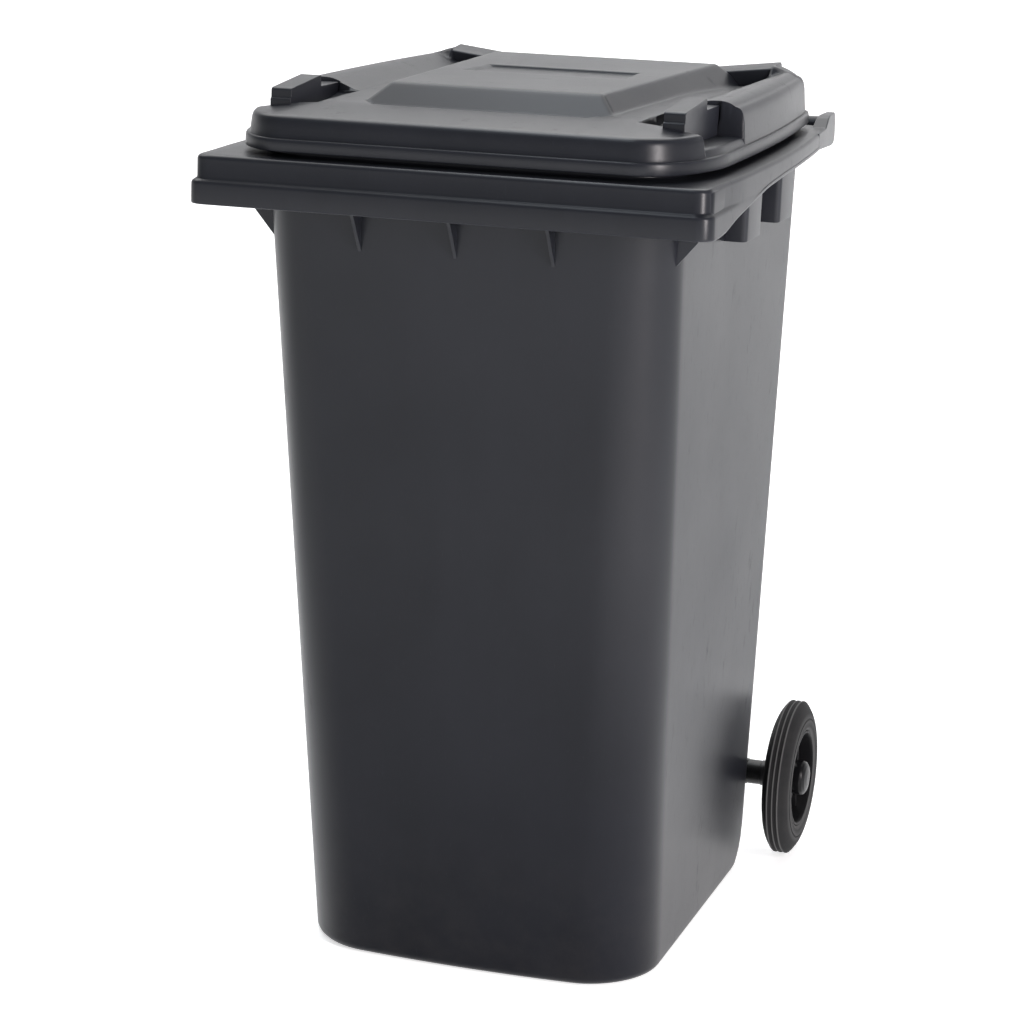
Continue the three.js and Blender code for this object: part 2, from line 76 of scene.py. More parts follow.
# The body's plan, at the ground and at the rim's top.
BODY = {
    "half": (219.0, 245.5),
    "front": (142.0, 45.0),
    "rear": (639.0, 665.0),
    "front_radius": (84.0, 67.0),
    "bow": (13.0, 5.0),
}
REAR_RADIUS = 30.0

# The height of the rim's lower edge at each depth.
EDGE_Y = (40, 62, 110, 190, 255, 344, 450, 700)
EDGE_Z = (922, 923.5, 933, 943.5, 951, 955, 956, 956)

# The y and z of the axes that run across the bin, and the wheels' sizes.
PIN = (716.0, 1004.0)
GRIP = (715.0, 971.0)
AXLE = (684.0, 105.5)
WHEEL_X = 266.0
TYRE = 102.0

LID_HALF = 281.0
LID_FRONT = 22.0
LID_REAR = 662.0
LID_BOTTOM = 984.0
LID_EDGE = 1024.0
LID_TOP = 1033.0


def place(points):
    """Millimetres from the comb rim to metres in the frame."""
    return (np.asarray(points, float) + (0, RIM_FRONT, 0)) / 1000


# ---- mesh helpers --------------------------------------------------------------------------------
def piece(name, points, faces, body, nodes, material, sharp=38, bevel=0.0, segments=2):
    """A mesh piece on a CAD body, standing for CAD nodes, with soft normals and sharp creases."""
    mesh = bpy.data.meshes.new(name)
    mesh.from_pydata([tuple(p) for p in place(points)], [], [tuple(map(int, f)) for f in faces])
    mesh.update()
    work = bmesh.new()
    work.from_mesh(mesh)
    bmesh.ops.recalc_face_normals(work, faces=work.faces)
    work.to_mesh(mesh)
    work.free()
    mesh.shade_smooth()
    mesh.set_sharp_from_angle(angle=math.radians(sharp))
    obj = bpy.data.objects.new(name, mesh)
    bpy.context.scene.collection.objects.link(obj)
    mesh.materials.append(MATERIALS[material])
    if bevel:
        rounding = obj.modifiers.new("rounding", "BEVEL")
        rounding.width = bevel / 1000
        rounding.segments = segments
        rounding.limit_method = "ANGLE"
        rounding.angle_limit = math.radians(28)
        rounding.harden_normals = True
    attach(obj, body)
    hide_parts(*nodes)


def ring_faces(levels, count):
    """Quads between closed rings of equal point count."""
    faces = []
    for level in range(levels - 1):
        for i in range(count):
            a, b = level * count + i, level * count + (i + 1) % count
            faces.append((a, b, b + count, a + count))
    return faces


def capped(rings):
    """A closed skin through rings: its two ends are flat faces."""
    count = len(rings[0])
    faces = ring_faces(len(rings), count)
    faces.append(tuple(reversed(range(count))))
    last = (len(rings) - 1) * count
    faces.append(tuple(range(last, last + count)))
    return np.vstack(rings), faces


def slab(profile, x0, x1):
    """A side profile of (y, z) corners with a width."""
    ring = np.array([(x0, y, z) for y, z in profile], float)
    return capped([ring, ring + (x1 - x0, 0, 0)])


def rounded(points, radius, steps=5):
    """A polygon with its corners turned into arcs. A corner's third value is a radius of its own."""
    out = []
    count = len(points)
    for i, corner in enumerate(points):
        here = np.array(corner[:2], float)
        before = np.array(points[i - 1][:2], float)
        after = np.array(points[(i + 1) % count][:2], float)
        reach = corner[2] if len(corner) > 2 else radius
        back = (before - here) / np.linalg.norm(before - here)
        forth = (after - here) / np.linalg.norm(after - here)
        reach = min(reach, 0.45 * np.linalg.norm(before - here), 0.45 * np.linalg.norm(after - here))
        start, end = here + back * reach, here + forth * reach
        for k in range(steps + 1):
            t = k / steps
            out.append(tuple((1 - t) ** 2 * start + 2 * t * (1 - t) * here + t**2 * end))
    return out


def turned(profile, x_middle, side, centre, segments=96):
    """A body turned about X. The profile lists (radius, distance out) and closes on itself."""
    y, z = centre
    angles = np.arange(segments) * 2 * math.pi / segments
    rings = []
    for radius, out in profile:
        x = np.full(segments, side * (x_middle + out))
        rings.append(np.stack([x, y + radius * np.cos(angles), z + radius * np.sin(angles)], 1))
    faces = ring_faces(len(rings), segments)
    last = (len(rings) - 1) * segments
    for i in range(segments):
        j = (i + 1) % segments
        faces.append((last + i, last + j, j, i))
    return np.vstack(rings), faces


def outward(side, x0, x1):
    """The x range of a piece on one side, for a range measured on the right side."""
    return (x0, x1) if side > 0 else (-x1, -x0)


def soft_step(t):
    t = np.clip(t, 0, 1)
    return t * t * (3 - 2 * t)


def soft_max(a, b, k):
    """The greater of two heights, with the edge where they meet rounded over a width k."""
    h = np.clip(0.5 + 0.5 * (a - b) / k, 0, 1)
    return b + (a - b) * h + k * h * (1 - h)


def soft_min(a, b, k):
    return -soft_max(-a, -b, k)


# ---- materials -----------------------------------------------------------------------------------
MATERIALS = {}
SOCKETS = {
    "color": "Base Color",
    "rough": "Roughness",
    "metal": "Metallic",
    "level": "Specular IOR Level",
    "tint": "Specular Tint",
}


def scaled(colour, factor):
    return tuple(factor * v for v in colour)


class Nodes:
    """A small builder for one material's node tree."""

    def __init__(self, name):
        self.material = bpy.data.materials.new(name)
        self.material.use_nodes = True
        self.tree = self.material.node_tree
        self.shader = self.tree.nodes["Principled BSDF"]
        self.place = self.add("ShaderNodeTexCoord").outputs["Object"]
        MATERIALS[name] = self.material

    def add(self, kind, **values):
        node = self.tree.nodes.new(kind)
        for key, value in values.items():
            setattr(node, key, value)
        return node

    def link(self, source, target):
        self.tree.links.new(source, target)

    def noise(self, scale, detail=3.0, roughness=0.5, stretch=(1, 1, 1)):
        mapping = self.add("ShaderNodeMapping")
        mapping.inputs["Scale"].default_value = stretch
        self.link(self.place, mapping.inputs["Vector"])
        node = self.add("ShaderNodeTexNoise")
        node.inputs["Scale"].default_value = scale
        node.inputs["Detail"].default_value = detail
        node.inputs["Roughness"].default_value = roughness
        self.link(mapping.outputs["Vector"], node.inputs["Vector"])
        return node.outputs["Fac"]

    def ramp(self, source, *stops):
        """A grey value from a ramp: straight between two stops, eased between more."""
        node = self.add("ShaderNodeValToRGB")
        elements = node.color_ramp.elements
        while len(elements) < len(stops):
            elements.new(0.5)
        node.color_ramp.interpolation = "EASE" if len(stops) > 2 else "LINEAR"
        for element, (position, value) in zip(elements, stops):
            element.position = position
            element.color = (value, value, value, 1)
        self.link(source, node.inputs["Fac"])
        return node.outputs["Color"]

    def mix(self, factor, a, b):
        """Colour a, turning into colour b as the factor goes from 0 to 1."""
        node = self.add("ShaderNodeMix", data_type="RGBA")
        for index, value in ((0, factor), (6, a), (7, b)):
            if isinstance(value, tuple):
                node.inputs[index].default_value = (*value, 1)
            else:
                self.link(value, node.inputs[index])
        return node.outputs[2]

    def math(self, operation, a, b=0.0, clamp=False):
        node = self.add("ShaderNodeMath", operation=operation, use_clamp=clamp)
        for index, value in enumerate((a, b)):
            if isinstance(value, (int, float)):
                node.inputs[index].default_value = value
            else:
                self.link(value, node.inputs[index])
        return node.outputs[0]

    def times(self, source, factor):
        return self.math("MULTIPLY", source, factor)

    def axis(self, letter):
        split = self.add("ShaderNodeSeparateXYZ")
        self.link(self.place, split.inputs[0])
        return split.outputs[letter]

    def along(self, letter, *stops):
        """A value that changes smoothly along an axis: stops are (metres, value), in order."""
        first, last = stops[0][0], stops[-1][0]
        past = self.math("SUBTRACT", self.axis(letter), first)
        span = self.math("DIVIDE", past, last - first, clamp=True)
        return self.ramp(span, *(((at - first) / (last - first), value) for at, value in stops))

    def near(self, centre, reach):
        """1 at a point, falling smoothly to 0 at a distance."""
        node = self.add("ShaderNodeVectorMath", operation="DISTANCE")
        self.link(self.place, node.inputs[0])
        node.inputs[1].default_value = centre
        share = self.math("DIVIDE", node.outputs["Value"], reach)
        fall = self.math("SUBTRACT", 1.0, share, clamp=True)
        return self.ramp(fall, (0.0, 0.0), (0.5, 0.5), (1.0, 1.0))

    def edges(self, low, high):
        """1 on the outer edges of a shape: where rubbing wears the plastic, and where the tyre's ridges
        get a painted highlight.
        """
        pointed = self.add("ShaderNodeNewGeometry").outputs["Pointiness"]
        return self.ramp(pointed, (low, 0.0), (high, 1.0))

    def bump(self, *layers):
        """Each layer is a height, its distance in metres and its strength."""
        normal = None
        for source, distance, strength in layers:
            node = self.add("ShaderNodeBump")
            node.inputs["Distance"].default_value = distance
            node.inputs["Strength"].default_value = strength
            self.link(source, node.inputs["Height"])
            if normal:
                self.link(normal, node.inputs["Normal"])
            normal = node.outputs["Normal"]
        self.link(normal, self.shader.inputs["Normal"])

    def set(self, **values):
        for key, value in values.items():
            socket = self.shader.inputs[SOCKETS[key]]
            if isinstance(value, (int, float, tuple)):
                socket.default_value = (*value, 1) if isinstance(value, tuple) else value
            else:
                self.link(value, socket)


def plastic(name, dark, light, rough, dust_and_painted_shade=0.0, level=0.45):
    """Moulded plastic: faint flow streaks, fine grain, rubbed edges, scuffs, some dust low down, and a
    painted shade that dulls the sheen towards the ground.
    """
    n = Nodes(name)
    cloud = n.noise(5.5, 4)
    flow = n.ramp(n.noise(11, 3, 0.6, (1, 1, 0.12)), (0.45, 0.0), (0.7, 1.0))
    grain = n.noise(1500, 2, 0.6)
    swell = n.noise(9, 2)
    scuff = n.ramp(n.noise(38, 6, 0.75, (1, 1, 0.35)), (0.60, 0.0), (0.72, 1.0))
    scratch = n.ramp(n.noise(70, 2, 0.4, (14, 14, 0.5)), (0.69, 0.0), (0.73, 1.0))
    color = n.mix(n.ramp(cloud, (0.3, 0.0), (0.7, 1.0)), dark, light)
    color = n.mix(n.times(flow, 0.22), color, scaled(light, 1.35))
    color = n.mix(n.times(n.edges(0.515, 0.56), 0.30), color, scaled(light, 2.1))
    color = n.mix(n.times(scratch, 0.25), color, scaled(light, 2.0))
    if dust_and_painted_shade:
        low = n.math("SUBTRACT", 1.0, n.times(n.axis("Z"), 5.0), clamp=True)
        patchy = n.ramp(n.noise(24, 5, 0.7), (0.4, 0.2), (0.7, 1.0))
        color = n.mix(n.times(n.times(low, patchy), dust_and_painted_shade), color, (0.16, 0.14, 0.12))
        # Painted shade: the sheen is dulled towards the ground, standing in for the darker floor
        # reflected low on the sides.
        n.set(tint=n.along("Z", (0.0, 0.12), (0.55, 1.0)))
    roughness = n.math("ADD", n.times(cloud, 0.12), rough - 0.06)
    roughness = n.math("ADD", roughness, n.times(scuff, 0.10))
    roughness = n.math("ADD", roughness, n.times(scratch, 0.14), clamp=True)
    n.set(color=color, rough=roughness, level=level)
    n.bump((swell, 0.004, 0.10), (grain, 0.00004, 0.35), (scratch, 0.00005, -0.5))


def metal(name, base, rough, brushed=(1, 60, 60)):
    """Zinc-plated steel: spangle, fine drawn lines and dull patches."""
    n = Nodes(name)
    spangle = n.noise(160, 3, 0.6)
    lines = n.noise(90, 3, 0.7, brushed)
    dull = n.ramp(n.noise(45, 5, 0.7), (0.5, 0.0), (0.75, 1.0))
    color = n.mix(n.times(spangle, 0.5), base, scaled(base, 0.72))
    color = n.mix(n.times(dull, 0.4), color, (0.21, 0.19, 0.17))
    roughness = n.math("ADD", n.times(lines, 0.18), rough - 0.06)
    n.set(color=color, metal=1.0, rough=n.math("ADD", roughness, n.times(dull, 0.2)))
    n.bump((lines, 0.00003, 0.35), (spangle, 0.00003, 0.2))


def rubber(name):
    """Tyre rubber: matt, mottled, with dust caught in its texture and a painted highlight along the
    tread's ridges.
    """
    n = Nodes(name)
    mottle = n.noise(34, 5, 0.65)
    crumb = n.noise(700, 3, 0.7)
    dusty = n.ramp(n.noise(14, 5, 0.7), (0.42, 0.0), (0.72, 1.0))
    color = n.mix(mottle, (0.008, 0.008, 0.009), (0.017, 0.017, 0.018))
    color = n.mix(n.times(dusty, 0.12), color, (0.08, 0.077, 0.072))
    # Painted highlight: the sharp tread ridges and edges are lightened into bright lines.
    color = n.mix(n.times(n.edges(0.51, 0.57), 0.65), color, (0.26, 0.26, 0.26))
    n.set(color=color, rough=n.math("ADD", n.times(mottle, 0.16), 0.66), level=0.14)
    n.bump((crumb, 0.00012, 0.5), (mottle, 0.0003, 0.25))


BLACK = (0.006, 0.006, 0.007), (0.010, 0.010, 0.011)
plastic("shell", (0.0106, 0.0116, 0.0152), (0.0134, 0.0145, 0.0190), 0.33, 0.05, 0.29)
plastic("pin_plastic", (0.010, 0.010, 0.011), (0.016, 0.016, 0.017), 0.42)
plastic("hub_plastic", *BLACK, 0.50, 0.03, 0.12)
plastic("sleeve_plastic", *BLACK, 0.36, 0.0, 0.35)
plastic("cap_plastic", (0.005, 0.005, 0.006), (0.008, 0.008, 0.009), 0.34, 0.0, 0.20)
plastic("nylon", (0.47, 0.45, 0.39), (0.55, 0.53, 0.46), 0.45)
rubber("tyre")
metal("steel", (0.55, 0.56, 0.58), 0.30)
metal("washer_steel", (0.58, 0.59, 0.60), 0.34, (40, 1, 1))
metal("spring_steel", (0.52, 0.53, 0.55), 0.28, (40, 1, 1))

# ---- plan outlines -------------------------------------------------------------------------------
CORNER_STEPS = 16
FRONT_STEPS = 36
SIDE_STEPS = 56
REAR_STEPS = 30


def width_share(y):
    """The rim and lid get narrower behind the middle of their depth."""
    past = np.maximum(0, np.asarray(y, float) - 250) / 450
    return 1 - 0.108 * past * past


def plan(half, front, rear, front_radius, rear_radius, bow=0.0, barrel=False):
    """Points round a rounded rectangle, counterclockwise from the left end of the front-left corner.

    Its front bows forward by bow, and with barrel it gets narrower behind the middle.
    """
    turn, rear_turn = front + front_radius, rear - rear_radius
    points = []

    def corner(x, y, radius, start):
        for i in range(CORNER_STEPS + 1):
            angle = start + i / CORNER_STEPS * math.pi / 2
            points.append((x + radius * math.cos(angle), y + radius * math.sin(angle)))

    def run(steps, at):
        points.extend(at(i / steps) for i in range(1, steps))

    corner(-half + front_radius, turn, front_radius, math.pi)
    reach = half - front_radius
    run(FRONT_STEPS, lambda t: (-reach + 2 * reach * t, front))
    corner(half - front_radius, turn, front_radius, 1.5 * math.pi)
    run(SIDE_STEPS, lambda t: (half, turn + (rear_turn - turn) * t))
    corner(half - rear_radius, rear_turn, rear_radius, 0)
    back = half - rear_radius
    run(REAR_STEPS, lambda t: (back - 2 * back * t, rear))
    corner(-half + rear_radius, rear_turn, rear_radius, math.pi / 2)
    run(SIDE_STEPS, lambda t: (-half, rear_turn + (turn - rear_turn) * t))
    xy = np.array(points)
    ahead = np.clip((turn - xy[:, 1]) / front_radius, 0, 1)
    share = width_share(xy[:, 1]) if barrel else 1.0
    x = xy[:, 0] * share
    y = xy[:, 1] - bow * ahead * (1 - (xy[:, 0] / half) ** 2)
    return np.stack([x, y], 1)


def at_height(outline, z):
    return np.column_stack([outline, np.broadcast_to(z, len(outline))])


def draw_in(radius, z):
    """How far a rounded lower edge lies inside the wall at a height above its foot."""
    return 0.0 if z >= radius else radius - math.sqrt(radius**2 - (radius - z) ** 2)


def body_plan(z, inset, ground):
    """The body's plan at a height, inset by a wall thickness, above its rounded foot and heel."""
    at = {key: low + (high - low) * z / RIM_TOP for key, (low, high) in BODY.items()}
    foot = draw_in(FOOT, z - ground)
    heel = draw_in(HEEL - inset, z - ground)
    outline = plan(at["half"] - inset - foot, at["front"] + inset + foot, at["rear"] - inset - heel,
                   at["front_radius"] - inset - foot, REAR_RADIUS - inset, at["bow"])
    return at_height(outline, z)


# ---- container shell -----------------------------------------------------------------------------
# How far in from the collar's outer face each ring of its section lies, and its height.
COLLAR = ((3.5, 966), (3.5, 985.4), (3.1, 986.6), (2.4, COLLAR_TOP), (1.1, COLLAR_TOP), (0.4, 986.6),
          (0, 985.4), (0, 979.5), (-0.6, 977.7), (-2.2, RIM_TOP))
# The rim's section, as insets in front and at the side with a height, or with a rise above its lower
# edge. The step's upper face stands 5.6 back in front and fades out behind the corner.
RIM_FACE = ((9.8, 4.6, RIM_TOP), (8.5, 3.4, 976.6), (7.0, 2.0, 975.4), (6.0, 1.1, 974.0),
            (5.6, 0.6, 971.8), (5.4, 0.6, 952.0), (4.9, 0.5, 950.6), (3.9, 0.4, RIM_STEP + 0.8),
            (2.6, 0.3, RIM_STEP - 0.1), (1.3, 0.2, RIM_STEP - 1.1), (0.5, 0.1, RIM_STEP - 2.4),
            (0.1, 0.0, RIM_STEP - 4.6))
RIM_EDGE = ((0, 0, 3.0), (0, 0, 1.4), (0.5, 0.5, 0.3), (1.5, 1.5, 0), (2.5, 2.5, 0.4), (SKIN, SKIN, 1.5),
            (SKIN, SKIN, 4.0))
RIM_BACK = ((3.4, 3.3, 945), (5.0, 3.6, 947), (8.8, 3.8, 950), (8.8, 3.8, 972))
FOOT_LEVELS = (0, 0.6, 2, 4.5, 7.5, 10, 16, 25, 38, 55)
WALL_LEVELS = list(np.linspace(90, 960, 22))


def collar_plan(inset):
    """The collar that stands up inside the lid, just inside the top of the body."""
    return plan(BODY["half"][1] - 1 - inset, BODY["front"][1] + 1 + inset, LID_REAR - 10 - inset,
                BODY["front_radius"][1] - inset, REAR_RADIUS - inset, BODY["bow"][1])


def rim_plan(front_inset, side_inset):
    rear = RIM_REAR - side_inset / 2
    return plan(RIM_HALF - side_inset, front_inset, rear, RIM_CORNER, RIM_REAR_CORNER, barrel=True)


def container_shell():
    """One closed skin: floor, inner wall, collar, rim deck, stepped rim, outer wall and base."""
    rings = [body_plan(FLOOR + rise, WALL, FLOOR) for rise in FOOT_LEVELS]
    rings += [body_plan(z, WALL, FLOOR) for z in WALL_LEVELS]
    rings += [at_height(collar_plan(inset), z) for inset, z in COLLAR]
    deck_in, deck_out = collar_plan(COLLAR[-1][0]), rim_plan(9.6, 4.6)
    rings += [at_height(deck_in + (deck_out - deck_in) * t, RIM_TOP) for t in (0.3, 0.65)]
    for front, side, z in RIM_FACE:
        outline = rim_plan(front, side)
        turning = 1 - soft_step((outline[:, 1] - 20) / 130)
        outline[:, 0] *= 1 - max(0.0, 0.95 * front - side) / RIM_HALF * turning
        rings.append(at_height(outline, np.maximum(z, edge_height(outline[:, 1]) + 4.0)))
    for front, side, rise in RIM_EDGE:
        outline = rim_plan(front, side)
        rings.append(at_height(outline, edge_height(outline[:, 1]) + rise))
    for front, side, z in RIM_BACK:
        outline = rim_plan(front, side)
        rings.append(at_height(outline, np.maximum(z, edge_height(outline[:, 1]) + 5.0)))
    under = at_height(rim_plan(10.4, 5.4), RIM_TOP - SKIN)
    wall_top = body_plan(968, 0, 0)
    join = wall_top.copy()
    join[:, 2] = RIM_TOP - SKIN
    rings += [under, under + (join - under) * 0.5, under + (join - under) * 0.93, wall_top]
    rings += [body_plan(z, 0, 0) for z in reversed(WALL_LEVELS)]
    rings += [body_plan(z, 0, 0) for z in reversed(FOOT_LEVELS)]
    points, faces = capped(rings)
    piece("container_shell", points, faces, "bin", ["container"], "shell", sharp=50)


def edge_height(y):
    """The height of the rim's lower edge, which rises along the sides."""
    fine = np.linspace(0, 720, 241)
    knots = np.interp(fine, EDGE_Y, EDGE_Z)
    kernel = np.hanning(13)
    smooth = np.convolve(np.pad(knots, 6, mode="edge"), kernel / kernel.sum(), mode="valid")
    return np.interp(y, fine, smooth)


def part(name, built, bevel, material="shell", body="bin", nodes=("container",), segments=3):
    points, faces = built
    piece(name, points, faces, body, list(nodes), material, sharp=40, bevel=bevel, segments=segments)


def in_wall(key, z):
    """Half-way through the body's wall at a height: its half width, front or rear."""
    low, high = BODY[key]
    return low + (high - low) * z / RIM_TOP + (WALL / 2 if key == "front" else -WALL / 2)


RIB_X = (-114, 0, 114)
RIB_HALF = 2
GUSSET_Y = 102
GUSSET_WIDTH = 4
SIDE_BOXES = ((293, 271), (464, 268))
BOX_DEPTH = 72
# How far in each ring of a box is drawn, and its height: the last ones line its inside.
BOX_SECTION = ((0, 970), (1.4, 880.5), (1.8, 879.4), (2.6, 879), (3.6, 879.4), (4.2, 881), (3.4, 968))
EAR_X = (113, 166)
EAR_WIDTH = 5
GRIP_RADIUS = 12.0
BRACKET_INNER = 262
BRACKET_REAR = 729
GUSSET = ((238, 875.5, 1), (261, 902.5, 8), (284, 930.5, 5), (296, 942, 3), (296, 970), (243, 970, 1))
EAR = rounded([(662.6, 957), (704, 957, 10), (724, 958, 9), (731, 982, 9), (731.5, 1004, 12),
               (726, 1019.5, 12), (706, 1019.5, 12), (700, 1006, 6), (676, 981, 6), (662.6, 975)], 3, 7)
BRACKET = rounded([(575, 956.4), (704, 948, 12), (722, 949, 8), (729, 957, 8), (729, 975, 8),
                   (723, 989, 9), (668, 989, 10), (640, 976.6), (575, 976.6)], 3, 7)


def container_details():
    for i, x in enumerate(RIB_X):
        part(f"comb_rib_{i + 1}", slab(rib_profile(x), x - RIB_HALF, x + RIB_HALF), 0.8)
    for side, where in ((-1, "left"), (1, "right")):
        ring = np.array([(side * x, GUSSET_Y, z) for x, z in rounded(GUSSET, 2)])
        part(f"corner_gusset_{where}", capped([ring, ring + (0, GUSSET_WIDTH, 0)]), 0.8)
        for i, (y0, out) in enumerate(SIDE_BOXES):
            part(f"side_box_{where}_{i + 1}", side_box(side, y0, out), 1.2)
        for i, x in enumerate(EAR_X):
            part(f"hinge_ear_{where}_{i + 1}", slab(EAR, *outward(side, x, x + EAR_WIDTH)), 0.9)
        part(f"rim_bracket_{where}", rim_bracket(side), 1.6)
        part(f"axle_housing_{where}", axle_housing(side), 1.6)
        part(f"grip_{where}", grip_bar(*outward(side, 169, 265)), 0)
    part("grip_middle", grip_bar(-116, 116), 0)


def rib_profile(x):
    """A rib under the rim's front: its rear edge lies in the bowed wall at this x."""
    foot, head = (in_wall("front", z) - 5.4 * (1 - (x / 245) ** 2) for z in (871, 973))
    return rounded([(3.5, 944), (3.5, 928), (18, 924.5), (26, 915), (38, 895), (foot, 871, 1),
                    (head, 973, 1), (12, 973)], 3)


def rim_bracket(side):
    """The arm that carries the rim's side face back to the grip's outer end."""
    inner = np.array([(side * BRACKET_INNER, y, z) for y, z in BRACKET])
    outer = np.array([(side * (272 + (BRACKET_REAR - y) * 0.094), y, z) for y, z in BRACKET])
    return capped([inner, outer])


def side_box(side, y0, out):
    """A stiffener box under the side rim, open below, with a slight draft on its faces."""
    y1 = y0 + BOX_DEPTH
    rings = []
    for draw, z in BOX_SECTION:
        inner = in_wall("half", z)
        corners = rounded([(inner, y0 + draw, 2), (out - draw, y0 + draw, 7), (out - draw, y1 - draw, 7),
                           (inner, y1 - draw, 2)], 5)
        rings.append(np.array([(side * x, y, z) for x, y in corners]))
    return capped(rings)


def axle_housing(side):
    """The housing low on the rear wall that holds the axle on one side."""
    y, z = AXLE
    profile = rounded([(637.6, 43, 1), (y - 14, z - 24, 14), (y + 10, z - 25, 18), (y + 24, z - 6, 18),
                       (y + 23, z + 14, 16), (y + 8, z + 24, 14), (642.4, 184, 1)], 3, 7)
    return slab(profile, *outward(side, 150, 198))


def grip_bar(x0, x1):
    """A round bar whose last 6 mm at each end taper slightly."""
    y, z = GRIP
    count = 48
    angles = np.arange(count) * 2 * math.pi / count
    rings = []
    for x, radius in ((x0, GRIP_RADIUS - 0.4), (x0 + 6, GRIP_RADIUS), (x1 - 6, GRIP_RADIUS),
                      (x1, GRIP_RADIUS - 0.4)):
        across, up = radius * np.cos(angles), radius * np.sin(angles)
        rings.append(np.stack([np.full(count, x), y + across, z + up], 1))
    return capped(rings)


# ---- lid -----------------------------------------------------------------------------------------
# How far inside the skirt's outer face the top ends, and then the radii of the skirt's corners.
EDGE_INSET = 18.0
REAR_INSET = 6.0
LID_ACROSS = 80.0
LID_ALONG = 140.0
LID_REAR_RADIUS = 42.0
# Where the raised and sunk forms of the top lie.
PLATEAU_TOP = 1053.0
PLATEAU_FRONT = 151
PLATEAU_REAR = 626
HOLLOW_REAR = 158
NOTCH_FLOOR = 1008
NOTCH_FRONT = 105
NOTCH_REAR = 240
POCKET_FLOOR = 1016
SLOT = (349, 431)
SLOT_DEPTH = 2.8
LINES_AT_SLOT = (350, 352, 428, 430)
STEEP = 13


def lid_edge_x(y):
    """Half the width of the lid's top, inside its rounded edge, at a depth."""
    half = LID_HALF - EDGE_INSET
    across, along = LID_ACROSS - EDGE_INSET, LID_ALONG - EDGE_INSET
    turn, rear = LID_FRONT + LID_ALONG, LID_REAR - REAR_INSET
    radius = LID_REAR_RADIUS - EDGE_INSET / 2
    t = np.clip((turn - y) / along, 0, 1)
    u = np.clip((y - (rear - radius)) / radius, 0, 1)
    x = half - across + across * np.sqrt(1 - t**2)
    x = x - radius + radius * np.sqrt(1 - u**2)
    return x * width_share(y)


def lid_rows():
    """Depths of the top's rows: crowded where an edge of a raised form runs across."""
    front, rear = LID_FRONT + EDGE_INSET, LID_REAR - REAR_INSET
    start = [front + 0.06 * k * k for k in range(9)]
    end = [rear - 0.06 * k * k for k in range(8, -1, -1)]
    rows = list(np.arange(start[-1] + 3, end[0] - 1.5, 3.4))
    for line in (102, 104, 106, 120, 239, 241, 244, *LINES_AT_SLOT):
        rows += [line - 0.7, line, line + 0.7]
    rows = sorted(start + rows + end)
    kept = [rows[0]]
    for y in rows[1:]:
        if y - kept[-1] > 0.55 or y < start[-1] or y > end[0]:
            kept.append(y)
    return np.array(kept)


def lid_columns():
    """Distances out of the top's columns where it is full width: crowded at the notch's walls."""
    plain = list(np.linspace(0, 186, 63))
    pocket = [189, 190.5, 192, 194, 197, 200, 203, 206, 209, 212, 215, 217, 218.6, 219.6, 220.6, 221.4]
    notch = [224, 228, 232, 236, 239, 240.4, 241.2, 242, 242.8, 244]
    return np.array(plain + pocket + notch)


